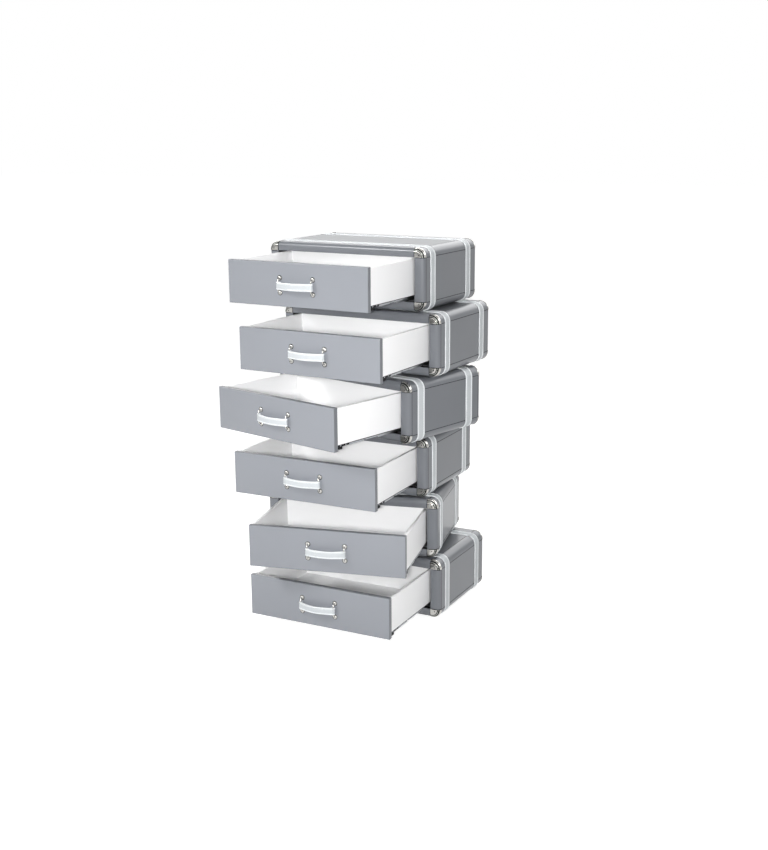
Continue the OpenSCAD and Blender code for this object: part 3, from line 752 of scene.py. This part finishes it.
def capProfile():
    # (distance from the corner's axis along its surface, height over it, finish)
    zone, high = capShape["zones"], capShape["heights"]
    polished, dark, dull = (capFinishes[key] for key in ("polished", "dark", "dull"))
    dome, groove, line, ring = high["dome"], high["groove"], zone["line"], zone["ring"]
    points = [(far * zone["dome"], dome * (1 - high["domeFall"] * far ** 3), polished)
              for far in capShape["domeShares"]]
    points += [(zone["dome"] - zone["domeEdge"], dome * high["domeEdge"], dark),
               (zone["dome"], dome * high["line"], dark), (line, dome * high["line"], dark)]
    for far in capShape["ringShares"]:
        rise = high["ringFoot"] + high["ringRise"] * math.sin(math.pi * far)
        points.append((line + far * (ring - line), dome * rise, dull))
    points += [(ring, dome * high["ringEdge"], dark), (ring + zone["ringEdge"], groove, dark),
               (zone["groove"] - zone["grooveEdge"], groove, dark)]
    foot, width = zone["groove"], zone["rim"] - zone["groove"]
    return points + [(foot + far * width, high["rim"] * up, polished) for far, up in capShape["rimShares"]]


def onCorner(along, up):
    # a point of the corner's section as (distance from the axis, distance out from the tangent plane)
    bend = caseSize["faceRadius"]
    if along <= capShape["flat"]:
        return along, bend + up
    angle = min((along - capShape["flat"]) / bend, math.pi / 2)
    return capShape["flat"] + (bend + up) * math.sin(angle), (bend + up) * math.cos(angle)


def capSection(height=None):
    # closed section of a cap with the finish of each span, or of its gasket where a height is given
    top = [(*onCorner(along, up if height is None else height), kind) for along, up, kind in capProfile()]
    under = [(*onCorner(along, -capShape["sunk"]), 0) for along, up, kind in reversed(capProfile())]
    return top + under


def cornerCap():
    # one cap, swept a quarter turn about the corner's axis, with its gasket at both ends and its nails
    full, low, steps = capSection(), capSection(capShape["gasketHeight"]), capShape["steps"]
    upright, side, gasket, dark = math.pi / 2, capShape["side"], capShape["gasket"], capFinishes["dark"]

    def loop(section, angle, aside=0.0, down=0.0):
        across, up = math.cos(angle), math.sin(angle)
        return [Vector((r * across - aside, out, r * up - down)) for r, out, kind in section]

    start = [loop(low, 0, 0, gasket), loop(low, 0)]
    plated = [loop(full, upright * k / steps) for k in range(steps + 1)] + [loop(full, upright, side)]
    end = [loop(low, upright, side), loop(low, upright, side + gasket)]
    vertices, faces = loftLoops(start + plated + end)
    count, first, last = len(full), len(start), len(start) + len(plated) - 2
    finishes = [full[k % count][2] if first <= k // count <= last else dark for k in range(len(faces))]
    cap = dict(vertices=vertices, faces=faces, finishes=finishes)
    for reach, degrees, radius in capShape["nails"]:
        angle, out = math.radians(degrees), onCorner(reach, capShape["nailSeat"])[1]
        spot = Vector((reach * math.cos(angle), out, reach * math.sin(angle)))
        head = [(share * radius, high) for share, high in capShape["nailHead"]]
        addForm(cap, turned(head, capShape["nailSides"], Vector((0, 1, 0))), spot, dark)
    return cap


def caseCaps():
    # the cap mirrored to all eight corners of a case
    corner, caps = cornerCap(), dict(vertices=[], faces=[], finishes=[])
    halfWidth, halfHeight = (caseSize[key] / 2 - caseSize["edgeRadius"] for key in ("width", "height"))
    halfDepth = caseSize["depth"] / 2 - caseSize["faceRadius"]
    for sx, sy, sz in itertools.product((-1, 1), repeat=3):
        first = len(caps["vertices"])
        base = Vector((sx * halfWidth, sy * halfDepth, caseSize["height"] / 2 + sz * halfHeight))
        caps["vertices"] += [base + Vector((sx * p.x, sy * p.y, sz * p.z)) for p in corner["vertices"]]
        caps["faces"] += [tuple(first + k for k in face) for face in corner["faces"]]
        caps["finishes"] += corner["finishes"]
    return caps


caps = caseCaps()
for level in levels:
    thing = meshObject(level["case"] + "_corner_caps", caps, [nickel, shadeDarkNickel, dullNickel],
                       level["place"], capShape["sharpAngle"], capShape["merge"])
    settle(thing, "stack", "nickel", "corner_caps")
print("corner caps made")


# drawer boxes and fronts
drawerShape = dict(frontWidth=568.6 * mm, frontHeight=152.5 * mm, frontFoot=35 * mm, frontThick=18 * mm,
                   frontSoft=2.5 * mm, frontSteps=4, faceDepth=0.4 * mm, boxWidth=563 * mm,
                   boxLength=371.5 * mm, boardThick=11 * mm, sideFoot=57 * mm, top=183 * mm, soft=1.2 * mm,
                   softSteps=3, floorFoot=64.5 * mm, floorThick=6 * mm, floorSoft=0.3 * mm, rebate=1 * mm,
                   sharpAngle=25)


def makeDrawer(level):
    shape, name, place = drawerShape, level["drawer"], level["drawerPlace"]
    frontY = -caseSize["depth"] / 2
    boxY = frontY + shape["frontThick"]
    endY = boxY + shape["boxLength"]
    half, thick, rebate, top = shape["boxWidth"] / 2, shape["boardThick"], shape["rebate"], shape["top"]
    inner, floor, soft = half - thick, shape["floorFoot"], (shape["soft"], shape["softSteps"])
    boards = bmesh.new()
    for low, high in ((-half, -inner), (inner, half)):
        addBoard(boards, (low, boxY, shape["sideFoot"]), (high, endY, top), *soft)
    for low, high in ((boxY, boxY + thick), (endY - thick, endY)):
        addBoard(boards, (-inner, low, floor), (inner, high, top), *soft)
    addBoard(boards, (-inner - rebate, boxY + thick - rebate, floor),
             (inner + rebate, endY - thick + rebate, floor + shape["floorThick"]), shape["floorSoft"], 1)
    box = fromBmesh(f"{name}_white_box", boards, [drawerLacquer], place, shape["sharpAngle"])
    settle(box, name, "white_lacquer", f"{name}_box")
    panel = bmesh.new()
    halfFront, foot = shape["frontWidth"] / 2, shape["frontFoot"]
    addBoard(panel, (-halfFront, frontY, foot), (halfFront, boxY, foot + shape["frontHeight"]),
             shape["frontSoft"], shape["frontSteps"])
    # the face keeps the lighter satin lacquer; the darker gloss case lacquer round its edges and behind
    # paints the shade on the front's sides
    for face in panel.faces:  # satin lacquer on the face, gloss round its edges and behind
        face.material_index = 0 if face.calc_center_median().y < frontY + shape["faceDepth"] else 1
    front = fromBmesh(f"{name}_grey_front", panel, [frontLacquer, caseLacquer], place, shape["sharpAngle"])
    settle(front, name, "front_lacquer", f"{name}_front")


for level in levels:
    makeDrawer(level)
print("drawers made")


# strap handles, with stitches along both edges
strapShape = dict(spacing=134 * mm, height=26 * mm, thick=5 * mm, standoff=12 * mm, bow=17.7 * mm,
                  drop=3 * mm, eyeRadius=6.2 * mm, eyeLap=1.2 * mm, lapShare=0.5, frontBlend=(0, 34 * mm),
                  backBlend=(1 * mm, 13 * mm), steps=40, eyeSteps=14, beadStrips=6, sharpAngle=50,
                  stitches=dict(pitch=5 * mm, inset=5.6 * mm, sunk=0.2 * mm, share=0.9, steps=24),
                  # distance in from the long edge, growth of the outline: rounded edge, raised bead, hollow
                  edgePoints=((0.0, -1.6 * mm), (0.25 * mm, -0.8 * mm), (0.8 * mm, 0.0), (1.6 * mm, 0.4 * mm),
                              (2.4 * mm, 0.5 * mm), (3.3 * mm, 0.4 * mm), (4.2 * mm, 0.1 * mm),
                              (5.2 * mm, -0.25 * mm)),
                  # share of half the height, growth of the outline
                  middlePoints=((-0.4, -0.1 * mm), (0.0, 0.0), (0.4, -0.1 * mm)))


def smoothStep(low, high, value):
    share = min(max((value - low) / (high - low), 0.0), 1.0)
    return share * share * (3 - 2 * share)


def strapArc():
    # the bow of a strap as an arc between its bars: radius, centre and half its sweep
    half, bow = strapShape["spacing"] / 2, strapShape["bow"]
    radius = (half * half + bow ** 2) / (2 * bow)
    return dict(radius=radius, centreY=-strapShape["standoff"] - bow + radius, sweep=math.asin(half / radius))


def strapHalf(angle, full, blend):
    # half thickness at an angle of the arc, thin in the middle and full at the eyes
    thin, arc = strapShape["thick"] / 2, strapArc()
    return thin + (full - thin) * (1 - smoothStep(*blend, (arc["sweep"] - abs(angle)) * arc["radius"]))


def strapFrontHalf(angle):
    return strapHalf(angle, strapShape["eyeRadius"] - strapShape["eyeLap"], strapShape["frontBlend"])


def strapOutline(grow):
    # outline of the strap seen from above: bowed front and back, wrapped round a bar at each end
    shape, arc, eye = strapShape, strapArc(), strapShape["eyeRadius"]
    sweep = arc["sweep"]

    def at(angle, out):
        reach = arc["radius"] + out
        return Vector((math.sin(angle) * reach, arc["centreY"] - math.cos(angle) * reach))

    def eyePoint(side, angle, share):
        reach = eye + grow - shape["eyeLap"] * (1 - smoothStep(0, shape["lapShare"], share))
        bar = Vector((side * shape["spacing"] / 2, -shape["standoff"]))
        return bar + Vector((reach * math.cos(angle), reach * math.sin(angle)))

    turns = [-sweep + 2 * sweep * k / shape["steps"] for k in range(shape["steps"] + 1)]
    ahead = math.atan2(-math.cos(sweep), math.sin(sweep))
    shares = [k / shape["eyeSteps"] for k in range(1, shape["eyeSteps"])]
    points = [at(angle, strapFrontHalf(angle) + grow) for angle in turns]
    points += [eyePoint(1, ahead + math.pi * share, share) for share in shares]
    points += [at(angle, -strapHalf(angle, eye, shape["backBlend"]) - grow) for angle in reversed(turns)]
    return points + [eyePoint(-1, math.pi * share - ahead, 1 - share) for share in shares]


def strapRows():
    # (height across the strap, growth of its outline) from its lower to its upper edge
    half = strapShape["height"] / 2
    edge = [(-half + inset, grow) for inset, grow in strapShape["edgePoints"]]
    middle = [(share * half, grow) for share, grow in strapShape["middlePoints"]]
    return edge + middle + [(-z, grow) for z, grow in reversed(edge)]


def edgeStrips(base, flip):
    # quads across one edge of the strap, between its front and its back, and one face at each eye
    steps, eye = strapShape["steps"], strapShape["eyeSteps"]
    front, back = base, base + 2 * steps + eye
    strips = [(front + k, front + k + 1, back - k - 1, back - k) for k in range(steps)]
    strips.append(tuple(front + steps + k for k in range(eye + 1)))
    strips.append(tuple(back + k for k in range(eye)) + (base,))
    return [tuple(reversed(face)) if flip else face for face in strips]


def handleMiddle():
    high = drawerShape["frontFoot"] + drawerShape["frontHeight"] / 2 - strapShape["drop"]
    return Vector((0, -caseSize["depth"] / 2, high))


def strapForm():
    middle, rows, beads = handleMiddle(), strapRows(), strapShape["beadStrips"]
    loops = [[middle + Vector((p.x, p.y, z)) for p in strapOutline(grow)] for z, grow in rows]
    vertices, faces = loftLoops(loops, "open")
    count, last = len(loops[0]), len(rows) - 2
    # the bead strips by the edges take the lighter leather, a painted highlight, and the middle takes the
    # greyer leather, painted shade
    finishes = [0 if min(k // count, last - k // count) < beads else 1 for k in range(len(faces))]
    strips = edgeStrips(0, True) + edgeStrips(len(vertices) - count, False)
    return dict(vertices=vertices, faces=faces + strips, finishes=finishes + [0] * len(strips))


def strapStitchLines():
    sewn, arc = strapShape["stitches"], strapArc()
    high = strapShape["height"] / 2 - sewn["inset"]
    lines = []
    for z in (-high, high):
        middle = handleMiddle() + Vector((0, arc["centreY"], z))
        line = []
        for k in range(sewn["steps"] + 1):
            angle = sewn["share"] * arc["sweep"] * (2 * k / sewn["steps"] - 1)
            facing = Vector((math.sin(angle), -math.cos(angle), 0))
            line.append((middle + (arc["radius"] + strapFrontHalf(angle) - sewn["sunk"]) * facing, facing))
        lines.append(line)
    return lines


strap = strapForm()
for level in levels:
    name, body = level["handle"], level["drawer"]
    thing = meshObject(f"{name}_leather_strap", strap, [litBeadLeather, shadedWebLeather], level["drawerPlace"],
                       strapShape["sharpAngle"])
    settle(thing, body, "white_leather", f"{name}_strap")
    sew(f"{name}_stitches", strapStitchLines(), False, strapShape["stitches"]["pitch"],
        level["drawerPlace"], body)
print("handle straps made")


# nickel handle mounts: two staples, each with a bar, two bent legs and two feet on dark flanges; the flanges'
# dark is painted shadow round each foot
mountShape = dict(barRadius=2.5 * mm, barHalf=13.3 * mm, legRadius=12 * mm, sides=20, bendSteps=12,
                  footRadius=8 * mm, footHeight=4.5 * mm, footSteps=14, footSides=32, domeInset=1.1 * mm,
                  domeShare=0.98, sharpAngle=40,
                  # step in from the foot's edge and height, then radius and height of its flange
                  footRim=((0.0, 0.0), (0.0, 0.5 * mm), (0.25 * mm, 0.8 * mm), (0.9 * mm, 0.9 * mm)),
                  flange=((9.3 * mm, -0.2 * mm), (9.3 * mm, 0.42 * mm), (9.0 * mm, 0.7 * mm),
                          (5.58 * mm, 0.7 * mm)))


def tubeAlong(path, radius, sides):
    # closed round tube through points that all lie in one YZ plane
    side = Vector((1, 0, 0))
    turns = [2 * math.pi * n / sides for n in range(sides)]
    loops = []
    for k, point in enumerate(path):
        along = (path[min(k + 1, len(path) - 1)] - path[max(k - 1, 0)]).normalized()
        up = along.cross(side).normalized()
        loops.append([point + radius * (math.cos(turn) * side + math.sin(turn) * up) for turn in turns])
    return loftLoops(loops)


def footProfile(shape):
    # a low dome on a thin stepped rim
    radius, step = shape["footRadius"], shape["footRim"][-1][1]
    inner = radius - shape["domeInset"]
    points = [(radius - inset, high) for inset, high in shape["footRim"]]
    for k in range(shape["footSteps"]):
        angle = shape["domeShare"] * math.pi / 2 * (k + 1) / shape["footSteps"]
        points.append((inner * math.cos(angle), step + (shape["footHeight"] - step) * math.sin(angle)))
    return points


def mountsForm():
    shape, forward = mountShape, Vector((0, -1, 0))
    reach, half, steps = shape["legRadius"], shape["barHalf"], shape["bendSteps"]
    turns = [math.pi / 2 * k / steps for k in range(steps + 1)]
    path = [Vector((0, -reach * math.sin(angle), -half - reach * math.cos(angle))) for angle in turns]
    path += [Vector((0, p.y, -p.z)) for p in reversed(path)]
    staple = tubeAlong(path, shape["barRadius"], shape["sides"])
    foot = turned(footProfile(shape), shape["footSides"], forward)
    flange = turned(shape["flange"], shape["footSides"], forward)
    mounts = dict(vertices=[], faces=[], finishes=[])
    for side in (-1, 1):
        base = handleMiddle() + Vector((side * strapShape["spacing"] / 2, 0, 0))
        addForm(mounts, staple, base, 0)
        for end in (-1, 1):
            for made, finish in ((foot, 0), (flange, 1)):
                addForm(mounts, made, base + Vector((0, 0, end * (half + reach))), finish)
    return mounts


mounts = mountsForm()
for level in levels:
    name = level["handle"]
    thing = meshObject(f"{name}_nickel_mounts", mounts, [nickel, shadeDarkNickel], level["drawerPlace"],
                       mountShape["sharpAngle"])
    settle(thing, level["drawer"], "nickel", f"{name}_mounts")
print("handle mounts made")


# edge strips of the runners under each drawer side, on a black spacer whose black paints the shade line under
# the drawer side, with rivets and the pins of the clips
stripShape = dict(inner=270.5 * mm, outer=281 * mm, foot=48.5 * mm, rearFoot=50.5 * mm, soft=0.5 * mm,
                  clipLength=60 * mm, jointAt=131 * mm, jointGap=10 * mm, rearEnd=252 * mm,
                  spacerFoot=54.6 * mm, spacerTop=57 * mm, spacerInset=0.6 * mm, spacerSoft=0.3 * mm,
                  rivetPitch=48 * mm, rivetInset=12 * mm, rivetHigh=51.6 * mm,
                  pinHigh=53.2 * mm, pins=(16 * mm, 42 * mm), sharpAngle=30)
rivetShape = dict(nailShape, radius=1.7 * mm, height=0.8 * mm)
pinShape = dict(screwShape, radius=2.6 * mm, height=0.9 * mm, recess=1.0 * mm, recessDepth=0.6 * mm)


def makeRunnerStrips(level):
    shape, name, body = stripShape, level["runner"], level["drawer"]
    start = -caseSize["depth"] / 2 + drawerShape["frontThick"]
    end = start + drawerShape["boxLength"]
    first, joint, stop = (start + shape[key] for key in ("clipLength", "jointAt", "rearEnd"))
    outer, spaced, under = shape["outer"], shape["outer"] - shape["spacerInset"], shape["spacerFoot"]
    # reach, first and last y, foot, top, then softness, its steps and the finish: zinc 0, black 1
    boards = ((outer, first, joint, shape["foot"], under, shape["soft"], 2, 0),
              (outer, joint + shape["jointGap"], stop, shape["rearFoot"], under, shape["soft"], 2, 0),
              (spaced, first, end, under, shape["spacerTop"], shape["spacerSoft"], 1, 1))
    rivetCount = int((stop - first - 2 * shape["rivetInset"]) / shape["rivetPitch"]) + 1
    rivetPlaces = [first + shape["rivetInset"] + k * shape["rivetPitch"] for k in range(rivetCount)]
    strips = bmesh.new()
    rivets, pins = [], []
    for side in (-1, 1):
        for reach, fromY, toY, foot, top, *edge in boards:
            low, high = sorted((side * shape["inner"], side * reach))
            addBoard(strips, (low, fromY, foot), (high, toY, top), *edge)
        facing = Vector((side, 0, 0))
        rivets += [(Vector((side * outer, y, shape["rivetHigh"])), facing) for y in rivetPlaces]
        pins += [(Vector((side * spaced, start + at, shape["pinHigh"])), facing) for at in shape["pins"]]
    made = fromBmesh(f"{name}_edge_strips", strips, [zincSteel, blackNylon], level["drawerPlace"],
                     shape["sharpAngle"])
    settle(made, body, "zinc_steel")
    setHeads(f"{name}_strip_rivets", rivet, rivets, zincSteel, level["drawerPlace"], body, "zinc_steel")
    setHeads(f"{name}_clip_pins", pin, pins, zincSteel, level["drawerPlace"], body, "zinc_steel")


rivet, pin = makeHead("rivet", rivetShape), makeHead("pin", pinShape)
for level in levels:
    makeRunnerStrips(level)
for source in (stitch, nail, screw, rivet, pin):
    bpy.data.objects.remove(source)
print("runner strips made")


# finer materials for the CAD pieces that stay
finishOf = dict(runner_cabinet_members=zincSteel, back_panels=backBoard, stack_plates=powderSteel,
                floor_pads=blackRubber)
for level in levels:
    name = level["runner"]
    finishOf[f"{name}_middle_members"] = finishOf[f"{name}_drawer_members"] = zincSteel
    finishOf[f"{name}_clips"] = blackNylon
for name, finish in finishOf.items():
    mesh = frame["nodes"][name].data
    mesh.materials.clear()
    mesh.materials.append(finish)
print("finishes given")


# floor, light and camera
floorLook = dict(half=30, color="#E6E6E6", roughness=0.8, specular=0.1, tone=0.66, glow=0.76)
worldLook = dict(
    level=0.38,  # the even light on matt surfaces
    # what a glossy surface sees by its direction: axis, start, end, level before, level after
    ramps=dict(ceiling=("Z", 0.45, 0.75, 1.0, 0.25), room=("Y", -0.75, -0.25, 0.4, 0.9),
               stripFoot=("Z", 0.25, 0.40, 0.0, 3.0), stripHead=("Z", 0.60, 0.72, 1.0, 0.0)))
lamps = {
    "key_beside_camera": dict(place=(2.3, -4.55, 1.88), target=(0, 0, 0.92), power=22, size=0.3, spread=60),
    "soft_upper_left": dict(place=(-2.2, -2.9, 3.3), target=(0, 0, 0.7), power=74, size=0.8, spread=180),
    "top_soft_behind": dict(place=(0.0, 1.7, 3.7), target=(0, 0, 1.2), power=36, size=2.4, spread=180)}
# fitted to the photo: where the camera stands from the lowest case, its heading, tilt and roll in degrees
photoView = dict(stand=(2164.1 * mm, -4215.6 * mm, 1812.0 * mm), heading=27.25, tilt=13.594, roll=-0.4262,
                 focalPixels=1272.38, imageWidth=768, sensorWidth=36)


def makeFloor():
    # white studio floor: the camera and glossy surfaces see it glow, and it keeps the soft shadow
    look = floorLook
    material, tree, shader = newMaterial("WhiteStudioFloor", look["color"], look["roughness"],
                                         specular=look["specular"])
    path = addNode(tree, "ShaderNodeLightPath")
    seen = path.outputs["Is Camera Ray"]
    for ray in ("Is Glossy Ray", "Is Transmission Ray"):
        either = addNode(tree, "ShaderNodeMath", {0: seen, 1: path.outputs[ray]}, operation="MAXIMUM")
        seen = either.outputs[0]
    lit = addNode(tree, "ShaderNodeBsdfDiffuse", {"Color": (look["tone"], look["tone"], look["tone"], 1)})
    glow = addNode(tree, "ShaderNodeEmission", {"Color": (1, 1, 1, 1), "Strength": look["glow"]})
    both = addNode(tree, "ShaderNodeAddShader", {0: lit.outputs[0], 1: glow.outputs[0]})
    mix = addNode(tree, "ShaderNodeMixShader", {0: seen, 1: shader.outputs[0], 2: both.outputs[0]})
    tree.links.new(mix.outputs[0], tree.nodes["Material Output"].inputs["Surface"])
    mesh = bpy.data.meshes.new("studio_floor")
    corners = [(x, y, 0) for x, y, start in rectCorners(look["half"], look["half"])]
    mesh.from_pydata(corners, [], [(0, 1, 2, 3)])
    mesh.materials.append(material)
    floor = bpy.data.objects.new("studio_floor", mesh)
    bpy.context.scene.collection.objects.link(floor)


def makeWorld():
    # the camera sees plain white, glossy surfaces see a studio and everything else gets an even light
    world = bpy.data.worlds.new("studio_world")
    bpy.context.scene.world = world
    world.use_nodes = True
    tree = world.node_tree
    tree.nodes.clear()
    path = addNode(tree, "ShaderNodeLightPath").outputs
    seen = addNode(tree, "ShaderNodeMath", {0: path["Is Camera Ray"], 1: path["Is Transmission Ray"]},
                   operation="MAXIMUM")
    heading = addNode(tree, "ShaderNodeTexCoord")
    parts = addNode(tree, "ShaderNodeSeparateXYZ", {0: heading.outputs["Generated"]})
    ramps = {}
    for name, (axis, start, end, low, high) in worldLook["ramps"].items():
        ramps[name] = addNode(tree, "ShaderNodeMapRange",
                              {"Value": parts.outputs[axis], "From Min": start, "From Max": end,
                               "To Min": low, "To Max": high}, interpolation_type="SMOOTHSTEP").outputs[0]
    # a white backdrop, a darker ceiling and a dark room in front, and one long strip light over the front
    # that draws a bright line along the rounded edges
    dark = addNode(tree, "ShaderNodeMath", {0: ramps["ceiling"], 1: ramps["room"]}, operation="MULTIPLY")
    strip = addNode(tree, "ShaderNodeMath", {0: ramps["stripFoot"], 1: ramps["stripHead"]},
                    operation="MULTIPLY")
    studio = addNode(tree, "ShaderNodeMath", {0: dark.outputs[0], 1: strip.outputs[0]}, operation="ADD")
    # a float mix goes from its input 2 to its input 3
    shiny = addNode(tree, "ShaderNodeMix", {0: path["Is Glossy Ray"], 2: worldLook["level"],
                                            3: studio.outputs[0]}, data_type="FLOAT")
    strength = addNode(tree, "ShaderNodeMix", {0: seen.outputs[0], 2: shiny.outputs[0], 3: 1.0},
                       data_type="FLOAT")
    background = addNode(tree, "ShaderNodeBackground",
                         {"Color": (1, 1, 1, 1), "Strength": strength.outputs[0]})
    addNode(tree, "ShaderNodeOutputWorld", {"Surface": background.outputs[0]})


def addLamp(name, place, target, power, size, spread):
    lamp = bpy.data.lights.new(name, "AREA")
    lamp.shape = "SQUARE"
    lamp.size = size
    lamp.energy = power
    lamp.spread = math.radians(spread)
    thing = bpy.data.objects.new(name, lamp)
    thing.location = place
    thing.rotation_euler = (Vector(target) - Vector(place)).to_track_quat("-Z", "Y").to_euler()
    bpy.context.scene.collection.objects.link(thing)


def makeCamera():
    view = photoView
    heading, tilt, roll = (math.radians(view[key]) for key in ("heading", "tilt", "roll"))
    level = Vector((-math.sin(heading), math.cos(heading), 0))
    side = Vector((math.cos(heading), math.sin(heading), 0))
    ahead = math.cos(tilt) * level - math.sin(tilt) * Vector((0, 0, 1))
    over = math.sin(tilt) * level + math.cos(tilt) * Vector((0, 0, 1))
    right = math.cos(roll) * side + math.sin(roll) * over
    up = -math.sin(roll) * side + math.cos(roll) * over
    data = bpy.data.cameras.new("photo_camera")
    data.sensor_fit = "HORIZONTAL"
    data.sensor_width = view["sensorWidth"]
    data.lens = view["focalPixels"] / view["imageWidth"] * view["sensorWidth"]
    camera = bpy.data.objects.new("photo_camera", data)
    base = levels[0]["place"].translation
    spot = Vector((base.x, base.y, 0)) + Vector(view["stand"])
    camera.matrix_world = Matrix.Translation(spot) @ Matrix((right, up, -ahead)).transposed().to_4x4()
    bpy.context.scene.collection.objects.link(camera)
    bpy.context.scene.camera = camera
    print("camera stands at", [round(value, 3) for value in spot])


makeFloor()
makeWorld()
for name, lamp in lamps.items():
    addLamp(name, **lamp)
makeCamera()
bpy.context.scene.view_settings.view_transform = "Standard"
print("stage made")
